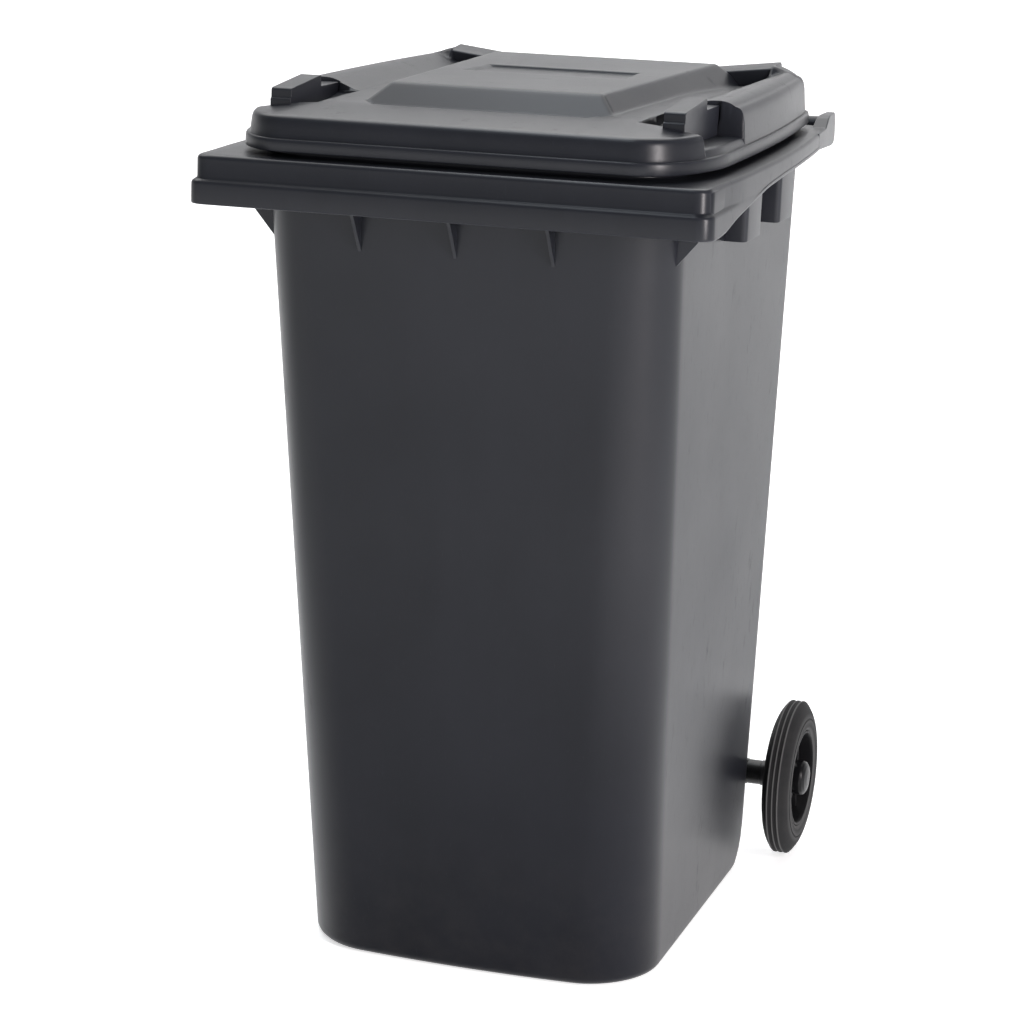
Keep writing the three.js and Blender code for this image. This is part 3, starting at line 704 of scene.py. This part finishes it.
def lid_height(x, y, d):
    """The height of the lid's top at |x|, y and a distance d in from its rounded edge."""
    z = LID_EDGE + (LID_TOP - LID_EDGE) * (1 - (1 - np.clip(d / 82, 0, 1)) ** 1.6)
    valley = soft_step((y - 380) / 200) * soft_step((x - 90) / 40) * soft_step((250 - x) / 50)
    z = z - 5.0 * valley
    # The hollow in front of the plateau.
    half = 125 + 23 * np.clip((y - 115) / 35, 0, 1)
    inside = np.minimum(np.minimum((y - 115) / 2.2, (HOLLOW_REAR - y) / 2.2), (half - x) / 2.2)
    floor = 1032 - (y - 90) * 8 / 75
    z = z + (np.minimum(z, floor) - z) * soft_step(inside)
    # The plateau.
    share = np.clip((y - PLATEAU_FRONT) / (PLATEAU_REAR - PLATEAU_FRONT), 0, 1)
    flank = LID_TOP + (147 + 18 * share - x) * 20 / (22 - 4 * share)
    front = LID_TOP + (y - PLATEAU_FRONT) * 20 / 25
    rear = LID_TOP + (PLATEAU_REAR - y) * 20 / 26
    plateau = soft_min(soft_min(flank, front, 1.6), rear, 3.0)
    z = soft_max(z, soft_min(plateau, PLATEAU_TOP, 1.8), 1.8)
    # The shoulder behind the corner notch.
    edge = (1 - np.clip(d / 16, 0, 1)) ** 2
    inner = 1030 + (x - 190) * 17 / 42
    ramp = NOTCH_FLOOR + (y - NOTCH_REAR - 0.5) * STEEP
    shoulder = soft_min(soft_min(inner, ramp, 3.0), NOTCH_FLOOR + (650 - y) * 5, 4.0)
    z = soft_max(z, soft_min(shoulder, 1046 - 5.5 * edge, 4.0), 3.0)
    # Its rear end climbs to the outer end of the raised block.
    climb = PLATEAU_TOP - np.maximum(x - 212, 0) * 0.36
    climb = climb - np.maximum(618 - y, 0) * 1.3 - np.maximum(212 - x, 0) * 3
    climb = soft_min(climb, NOTCH_FLOOR + (652 - y) * 5, 4.0)
    z = soft_max(z, soft_min(climb, PLATEAU_TOP - 12 * edge, 3.0), 2.5)
    # The notch at the corner, the pit that the grip post stands in, and the pocket inside the post,
    # whose floor rises to the shoulder.
    notch = np.maximum(np.maximum(242 - x, NOTCH_FRONT - y), y - NOTCH_REAR)
    z = soft_min(z, NOTCH_FLOOR + np.maximum(notch, 0) * STEEP, 1.5)
    pit = np.maximum(np.maximum(220.5 - x, x - 243), np.maximum(99.5 - y, y - 244.5))
    z = soft_min(z, NOTCH_FLOOR + np.maximum(pit, 0) * STEEP, 1.5)
    pocket = np.maximum(np.maximum(192 - x, x - 221), np.maximum(108 - y, y - NOTCH_REAR))
    floor = POCKET_FLOOR + np.maximum(y - 150, 0) * 13 / 90
    z = soft_min(z, floor + np.maximum(pocket, 0) * 9, 1.5)
    # The slot across the plateau.
    half = 100 - 6 * np.clip((y - 350) / 80, 0, 1)
    inside = np.minimum(np.minimum(y - SLOT[0], SLOT[1] - y), half - x)
    return z - SLOT_DEPTH * soft_step(inside / 2.0)


# Each ring of the lid's side: how far in from the skirt's outer face, and its share of the height
# from the skirt's foot to the top's edge.
LID_SIDE = ((15.2, 0.985), (12.6, 0.955), (10.6, 0.905), (9.0, 0.835), (8.0, 0.75), (7.2, 0.63),
            (6.5, 0.42), (5.7, 0.18), (5.1, 0.04), (4.4, -0.02))
SKIRT_FOOT = 999
# The lip under the skirt: how far in from its outer face, and how high.
LID_LIP = ((2.6, 998.6), (1.4, 998.0), (0.6, 996.8), (0.2, 994.5), (0.0, 985.2), (0.4, 984.3),
           (1.3, LID_BOTTOM), (2.4, LID_BOTTOM), (3.2, 984.6), (3.8, 986.0), (4.6, 993.5))


def lid_grid():
    """The x and y of the top's grid of points: every row ends on the lid's rounded outline."""
    rows, columns = lid_rows(), lid_columns()
    band = np.linspace(0, 1, 9)[1:]
    full = lid_edge_x(np.array([100.0]))[0]
    grid = []
    for y, edge in zip(rows, lid_edge_x(rows)):
        share = min(1.0, edge / full) if y < 100 else min(1.0, (edge - 2) / 246)
        fixed = columns * share
        line = np.concatenate([fixed, fixed[-1] + (edge - fixed[-1]) * band])
        grid.append(np.concatenate([-line[:0:-1], line]))
    x = np.array(grid)
    return x, np.repeat(rows[:, None], x.shape[1], 1)


def edge_normals(edge):
    """Smoothed outward directions along a closed outline."""
    along = (np.roll(edge, -1, 0) - np.roll(edge, 1, 0))[:, :2]
    normal = np.stack([along[:, 1], -along[:, 0]], 1)
    for _ in range(3):
        normal /= np.linalg.norm(normal, axis=1)[:, None]
        normal = normal + np.roll(normal, 1, 0) + np.roll(normal, -1, 0)
    return normal / np.linalg.norm(normal, axis=1)[:, None]


def lid_shell():
    """One closed skin: the shaped top, its underside, and the skirt and lip that join them."""
    x, y = lid_grid()
    height, width = x.shape
    loop = ([c for c in range(width - 1)] + [r * width + width - 1 for r in range(height - 1)]
            + [(height - 1) * width + c for c in range(width - 1, 0, -1)]
            + [r * width for r in range(height - 1, 0, -1)])
    flat = np.stack([x.ravel(), y.ravel()], 1)
    d = distance_in(flat, flat[loop]).reshape(x.shape)
    top = np.stack([x, y, lid_height(np.abs(x), y, d)], 2).reshape(-1, 3)
    under = top - (0, 0, SKIN)
    faces = []
    for r in range(height - 1):
        for c in range(width - 1):
            a = r * width + c
            faces.append((a, a + 1, a + width + 1, a + width))
    count = len(top)
    faces += [tuple(reversed([i + count for i in face])) for face in list(faces)]
    edge = top[loop]
    normal = edge_normals(edge)
    # The rear edge stands nearer the top's edge than the other three.
    reach = EDGE_INSET + (REAR_INSET - EDGE_INSET) * soft_step(normal[:, 1])
    rings = []

    def ring(draw, heights):
        step = (1 - draw / EDGE_INSET) * reach
        rings.append(np.column_stack([edge[:, :2] + normal * step[:, None], heights]))

    for draw, rise in LID_SIDE:
        ring(draw, SKIRT_FOOT + (edge[:, 2] - SKIRT_FOOT) * rise)
    for draw, level in LID_LIP:
        ring(draw, np.full(len(edge), level))
    for draw, rise in LID_SIDE[::-2]:
        ring(draw + 3.4, SKIRT_FOOT - 2 + (edge[:, 2] - SKIN - SKIRT_FOOT + 2) * max(rise, 0.0))
    size = len(loop)
    chain = [np.array(loop)] + [2 * count + k * size + np.arange(size) for k in range(len(rings))]
    chain.append(np.array(loop) + count)
    for upper, lower in zip(chain, chain[1:]):
        for i in range(size):
            j = (i + 1) % size
            faces.append((upper[i], lower[i], lower[j], upper[j]))
    piece("lid_shell", np.vstack([top, under] + rings), faces, "lid", ["lid"], "shell", sharp=60)


LID_ARM = rounded([(652, 994), (712, 990.5, 10), (729, 996, 12), (729, 1012, 12), (712, 1018, 12),
                   (692, 1022, 10), (664, 1036, 8), (652, 1034)], 3, 7)
LID_REST = ((38, 987.4), (60, 987.4), (60, 1022), (38, 1018))


def lid():
    lid_shell()
    on_lid = dict(material="shell", body="lid", nodes=["lid"])
    for side, where in ((-1, "left"), (1, "right")):
        part(f"lid_arm_{where}", slab(LID_ARM, *outward(side, 121.5, 162.5)), 1.6, **on_lid)
        for name, built in (("lid_post", grip_post(side)), ("lid_ridge", post_ridge(side)),
                            ("lid_block", rear_block(side))):
            part(f"{name}_{where}", built, 1.4, **on_lid)
        part(f"lid_rest_{where}", slab(LID_REST, *outward(side, 140, 146)), 0.8, **on_lid)


def grip_post(side):
    """A front grip post: a low step, a front face and a top that rises to the rear."""
    profile = rounded([(98, 1006, 1), (98, 1034, 1.5), (100.4, 1035.4, 1), (100.6, 1044.6, 2),
                       (103, 1046.4, 2), (190, 1054, 3), (190, 1006, 1)], 2)
    return slab(profile, *outward(side, 219, 244))


def post_ridge(side):
    """The lower ridge from a grip post back to the shoulder."""
    profile = rounded([(186, 1006, 1), (186, 1041, 1), (246, 1041, 3), (246, 1006, 1)], 2)
    return slab(profile, *outward(side, 219.4, 243.6))


def rear_block(side):
    """The raised block at the lid's rear, highest near its outer end."""
    rings = []
    for x, top in ((114, 1041), (214, 1053)):
        corners = rounded([(616, 1026, 1), (616.5, top - 3, 3), (640, top, 8), (658, top + 1.6, 5),
                           (664, top - 3, 3), (664.6, 1006, 1), (656, 1006, 1), (652, 1021.5, 1)], 2)
        rings.append(np.array([(side * x, y, z) for y, z in corners]))
    return capped(rings)


def distance_in(points, outline):
    """The distance of each point from a closed outline."""
    best = np.full(len(points), 1e9)
    for a, b in zip(outline, np.roll(outline, -1, 0)):
        line = b - a
        t = np.clip(((points - a) @ line) / max(line @ line, 1e-9), 0, 1)
        best = np.minimum(best, np.linalg.norm(points - a - t[:, None] * line, axis=1))
    return best


# ---- wheels and axle -----------------------------------------------------------------------------
TYRE_SIDE = [(64.3, 15.6), (64.9, 17.0), (67, 18.2), (70, 18.8), (74, 19), (77.4, 18.8), (78.2, 18.0),
             (79.4, 17.9), (80.2, 18.4), (83, 18.0), (87, 16.8), (91, 15.1), (94.4, 13.2), (97.2, 11.3),
             (99.4, 9.7), (100.7, 8.7)]
TREAD_RIDGES = (-6.8, 0.0, 6.8)
SPOKES = 6
SECTORS = 96
WEB_RADII = (19.2, 23, 27.5, 34, 41, 48, 54.5, 57.5, 60.2)
WEB_OUTER = -1.5
WEB_INNER = -6.0


def tyre_profile():
    """A solid tyre with round shoulders, three fine tread ridges and a moulded line on each side."""
    points = [(radius, -out) for radius, out in TYRE_SIDE]
    for ridge in TREAD_RIDGES:
        points += [(101.0, ridge - 1.6), (101.6, ridge - 1.1), (TYRE, ridge - 0.5), (TYRE, ridge + 0.5),
                   (101.6, ridge + 1.1), (101.0, ridge + 1.6)]
    return points + TYRE_SIDE[::-1]


def eased(profile, radius=0.6):
    """A turned profile with its corners rounded."""
    return rounded(profile, radius, 3)


def in_window(ring, sector):
    """Whether a cell of the web lies in one of the openings between the spokes."""
    width = SECTORS / SPOKES
    phase = (sector + 0.5) % width
    spoke = 2.6 if ring < 4 else 2.0
    return 2 <= ring <= 5 and spoke < phase < width - spoke


def spoked_web(side):
    """The wheel's web: a disc with a window between each two spokes."""
    kept = [(r, s) for r in range(len(WEB_RADII) - 1) for s in range(SECTORS) if not in_window(r, s)]
    y, z = AXLE
    points, index, faces = [], {}, []

    def vertex(r, s, out):
        key = (r, s % SECTORS, out)
        if key not in index:
            angle = (s % SECTORS) * 2 * math.pi / SECTORS
            across, up = WEB_RADII[r] * math.cos(angle), WEB_RADII[r] * math.sin(angle)
            index[key] = len(points)
            points.append((side * (WHEEL_X + out), y + across, z + up))
        return index[key]

    for r, s in kept:
        for out, order in ((WEB_OUTER, 1), (WEB_INNER, -1)):
            quad = [vertex(r, s, out), vertex(r + 1, s, out),
                    vertex(r + 1, s + 1, out), vertex(r, s + 1, out)]
            faces.append(tuple(quad[::order]))
        walls = ((r - 1, s, (r, s), (r, s + 1)),
                 (r + 1, s, (r + 1, s), (r + 1, s + 1)),
                 (r, (s - 1) % SECTORS, (r, s), (r + 1, s)),
                 (r, (s + 1) % SECTORS, (r, s + 1), (r + 1, s + 1)))
        for other_r, other_s, a, b in walls:
            if (other_r, other_s) not in kept:
                faces.append((vertex(*a, WEB_OUTER), vertex(*b, WEB_OUTER),
                              vertex(*b, WEB_INNER), vertex(*a, WEB_INNER)))
    return np.array(points), faces


def spoke_ribs(side):
    """A rib standing on each spoke, as one mesh of closed bars."""
    y, z = AXLE
    points, faces = [], []
    for i in range(SPOKES):
        angle = i * 2 * math.pi / SPOKES
        radial = np.array((0, math.cos(angle), math.sin(angle)))
        across = np.array((0, -math.sin(angle), math.cos(angle)))
        start = len(points)
        for radius, low, high in ((19.4, -1.9, 7.5), (59.4, -1.9, 3.5)):
            for w, out in ((-2, low), (2, low), (1.6, high), (-1.6, high)):
                middle = np.array((side * (WHEEL_X + out), y, z))
                points.append(middle + radial * radius + across * w)
        faces += [tuple(start + i for i in f) for f in
                  ((0, 1, 5, 4), (1, 2, 6, 5), (2, 3, 7, 6), (3, 0, 4, 7), (3, 2, 1, 0), (4, 5, 6, 7))]
    return np.array(points), faces


# Sections of the turned pieces: (radius, distance out from the wheel's middle).
HUB_BOSS = [(13.4, -26), (18.6, -26), (20, -7), (20, -0.5), (19, 12), (13.4, 12)]
HUB_RIM = [(59.6, -17), (63.7, -17), (63.7, 17), (60.6, 17), (59.6, 14), (59.6, -14)]
PROFILES = {
    "hub_bush": ([(10.4, -26), (13, -26), (13, 12.3), (17, 12.3), (17, 13.8), (10.4, 13.8)], "nylon"),
    "outer_washer": ([(10.4, 14.1), (16, 14.1), (16, 16), (10.4, 16)], "washer_steel"),
    "inner_washer": ([(10.4, -28), (17, -28), (17, -26.3), (10.4, -26.3)], "washer_steel"),
    "lock_cap": ([(0.5, 19), (10.3, 19), (10.3, 16.4), (15.5, 16.4), (15.5, 17.6), (12, 18.4),
                  (12, 19.6), (9, 20.8), (0.5, 20.8)], "spring_steel"),
    "hub_cap": ([(0.5, 23.4), (8, 22.9), (15, 21.4), (20.5, 17), (20.6, 12), (19.9, 6), (21.5, 6),
                 (22.9, 11), (23, 17), (21.5, 20.6), (17, 23.5), (9, 25.1), (0.5, 25.5)], "cap_plastic"),
    "axle_sleeve": ([(10.4, -67.7), (15.6, -67.7), (17, -66.2), (17, -58), (16.2, -57), (16.2, -39),
                     (17, -38), (17, -29.7), (15.8, -28.3), (10.4, -28.3)], "sleeve_plastic"),
}
ON_WHEEL = ("hub_bush", "hub_cap")
# The hinge pin's and the axle's sections are measured out from the bin's middle.
HINGE_PIN = [(0.4, 109), (9.5, 109), (9.5, 112.7), (6, 112.9), (6, 170.6), (7, 171.4), (6.6, 173.6),
             (4.4, 175), (0.4, 175)]
AXLE_BAR = [(0.5, -284.5), (9, -284.5), (10, -283.4), (10, -240), (10, 240), (10, 283.4), (9, 284.5),
            (0.5, 284.5)]


def wheels():
    for side, where in ((-1, "left"), (1, "right")):
        wheel, hub = f"wheel_{where}", f"wheel_hub_{where}"

        def turn(name, profile, body, node, material, segments=96):
            built = turned(profile, WHEEL_X, side, AXLE, segments)
            part(name, built, 0, material, body, [node])

        turn(f"tyre_ring_{where}", tyre_profile(), wheel, f"tyre_{where}", "tyre", 128)
        turn(f"hub_boss_{where}", eased(HUB_BOSS, 1.0), wheel, hub, "hub_plastic")
        turn(f"hub_rim_{where}", eased(HUB_RIM, 0.9), wheel, hub, "hub_plastic", 128)
        on_hub = dict(material="hub_plastic", body=wheel, nodes=[hub], segments=2)
        part(f"hub_web_{where}", spoked_web(side), 0.7, **on_hub)
        part(f"hub_ribs_{where}", spoke_ribs(side), 0.6, **on_hub)
        for name, (profile, material) in PROFILES.items():
            body = wheel if name in ON_WHEEL else "bin"
            turn(f"{name}_turned_{where}", eased(profile), body, f"{name}_{where}", material, 72)
        built = turned(eased(HINGE_PIN, 0.8), 0, side, PIN, 48)
        part(f"hinge_pin_turned_{where}", built, 0, "pin_plastic", "bin", [f"hinge_pin_{where}"])


def axle():
    part("axle_bar", turned(AXLE_BAR, 0, 1, AXLE, 64), 0, "steel", "bin", ["axle"])


container_shell()
container_details()
lid()
wheels()
axle()

# ---- floor, light and camera ---------------------------------------------------------------------
STAGE_HALF = 45.0
COVE_START = 3.2
COVE_RADIUS = 1.6
BACKDROP_TOP = 4.2
# Painted shade on the floor: soft patches where it glows less, each a point, how far round it, and how
# much less.
SHADE_PATCHES = (((-0.5, -1.6, 0), 1.3, 0.75), ((-2.0, -0.4, 0), 1.4, 0.75), ((1.6, 2.1, 0), 2.1, 0.75),
          ((0.65, 1.0, 0), 1.0, 0.35))


def cyclorama():
    """A pale floor that curves up into a backdrop behind the bin, glowing with painted light."""
    section = [(-STAGE_HALF, 0.0), (-9.0, 0.0), (COVE_START, 0.0)]
    section += [(COVE_START + COVE_RADIUS * math.sin(a), COVE_RADIUS - COVE_RADIUS * math.cos(a))
                for a in np.linspace(0.08, math.pi / 2, 14)]
    section += [(COVE_START + COVE_RADIUS, BACKDROP_TOP)]
    mesh = bpy.data.meshes.new("cyclorama")
    points = [(x, y, z) for y, z in section for x in (-STAGE_HALF, STAGE_HALF)]
    faces = [(2 * i, 2 * i + 1, 2 * i + 3, 2 * i + 2) for i in range(len(section) - 1)]
    mesh.from_pydata(points, [], faces)
    mesh.shade_smooth()
    obj = bpy.data.objects.new("cyclorama", mesh)
    obj.location.z = -0.0004
    bpy.context.scene.collection.objects.link(obj)
    n = Nodes("glowing_floor")
    n.set(color=(0.87, 0.87, 0.875), rough=0.9)
    n.shader.inputs["Emission Color"].default_value = (1, 1, 1, 1)
    # Painted light: the floor glows though it is no lamp, most strongly far in front. The glow fades
    # softly beside the bin and up the wall, so that the bin's sides keep their contrast.
    glow = n.along("Y", (-5.0, 1.6), (-3.8, 1.35), (-2.6, 0.62), (0.0, 0.62))
    for centre, reach, loss in SHADE_PATCHES:
        glow = n.math("SUBTRACT", glow, n.times(n.near(centre, reach), loss))
    wall = n.along("Z", (0.0, 1.0), (0.9, 1.0), (1.7, 0.0))
    glow = n.math("MULTIPLY", n.math("MAXIMUM", glow, 0.0), wall)
    n.link(glow, n.shader.inputs["Emission Strength"])
    mesh.materials.append(n.material)


def softbox(name, where, aim, size, power, colour=(1, 1, 1)):
    """A rectangular area light of a size in metres and a power in watts, turned towards a point."""
    light = bpy.data.lights.new(name, "AREA")
    light.shape = "RECTANGLE"
    light.size, light.size_y = size
    light.energy = power
    light.color = colour
    obj = bpy.data.objects.new(name, light)
    obj.location = where
    obj.rotation_euler = (Vector(aim) - Vector(where)).to_track_quat("-Z", "Y").to_euler()
    bpy.context.scene.collection.objects.link(obj)


def studio():
    world = bpy.data.worlds.new("studio")
    world.use_nodes = True
    background = world.node_tree.nodes["Background"]
    background.inputs["Color"].default_value = (0.96, 0.98, 1.0, 1)
    background.inputs["Strength"].default_value = 0.26
    bpy.context.scene.world = world
    softbox("overhead", (-1.0, 1.9, 3.9), (0.0, 0.4, 0), (4.4, 3.6), 138)
    softbox("side_strip", (2.7, -1.7, 1.5), (0, 0, 0.8), (0.5, 1.5), 90, (1.0, 0.94, 0.94))
    softbox("edge_strip", (-0.5, -0.35, 3.4), (0, -0.3, 1.0), (3.0, 0.5), 19, (0.82, 0.91, 1.0))
    bpy.context.scene.view_settings.view_transform = "Standard"


# The photograph's viewing angle in degrees: to the left, down and tilted.
YAW, PITCH, ROLL = 18.28, 13.94, 1.54
EYE = (1.103, -3.4577, 1.4079)
FOCAL_LENGTH = 105.74


def camera():
    yaw, pitch, roll = (math.radians(angle) for angle in (YAW, PITCH, ROLL))
    level = math.cos(pitch)
    ahead = Vector((-math.sin(yaw) * level, math.cos(yaw) * level, -math.sin(pitch)))
    right = Vector((math.cos(yaw), math.sin(yaw), 0))
    up = right.cross(ahead)
    turned_right = math.cos(roll) * right + math.sin(roll) * up
    turned_up = math.cos(roll) * up - math.sin(roll) * right
    data = bpy.data.cameras.new("camera")
    data.sensor_width = 36
    data.lens = FOCAL_LENGTH
    obj = bpy.data.objects.new("camera", data)
    pose = Matrix((turned_right, turned_up, -ahead)).transposed().to_4x4()
    pose.translation = Vector(EYE)
    obj.matrix_world = pose
    bpy.context.scene.collection.objects.link(obj)
    bpy.context.scene.camera = obj


cyclorama()
studio()
camera()
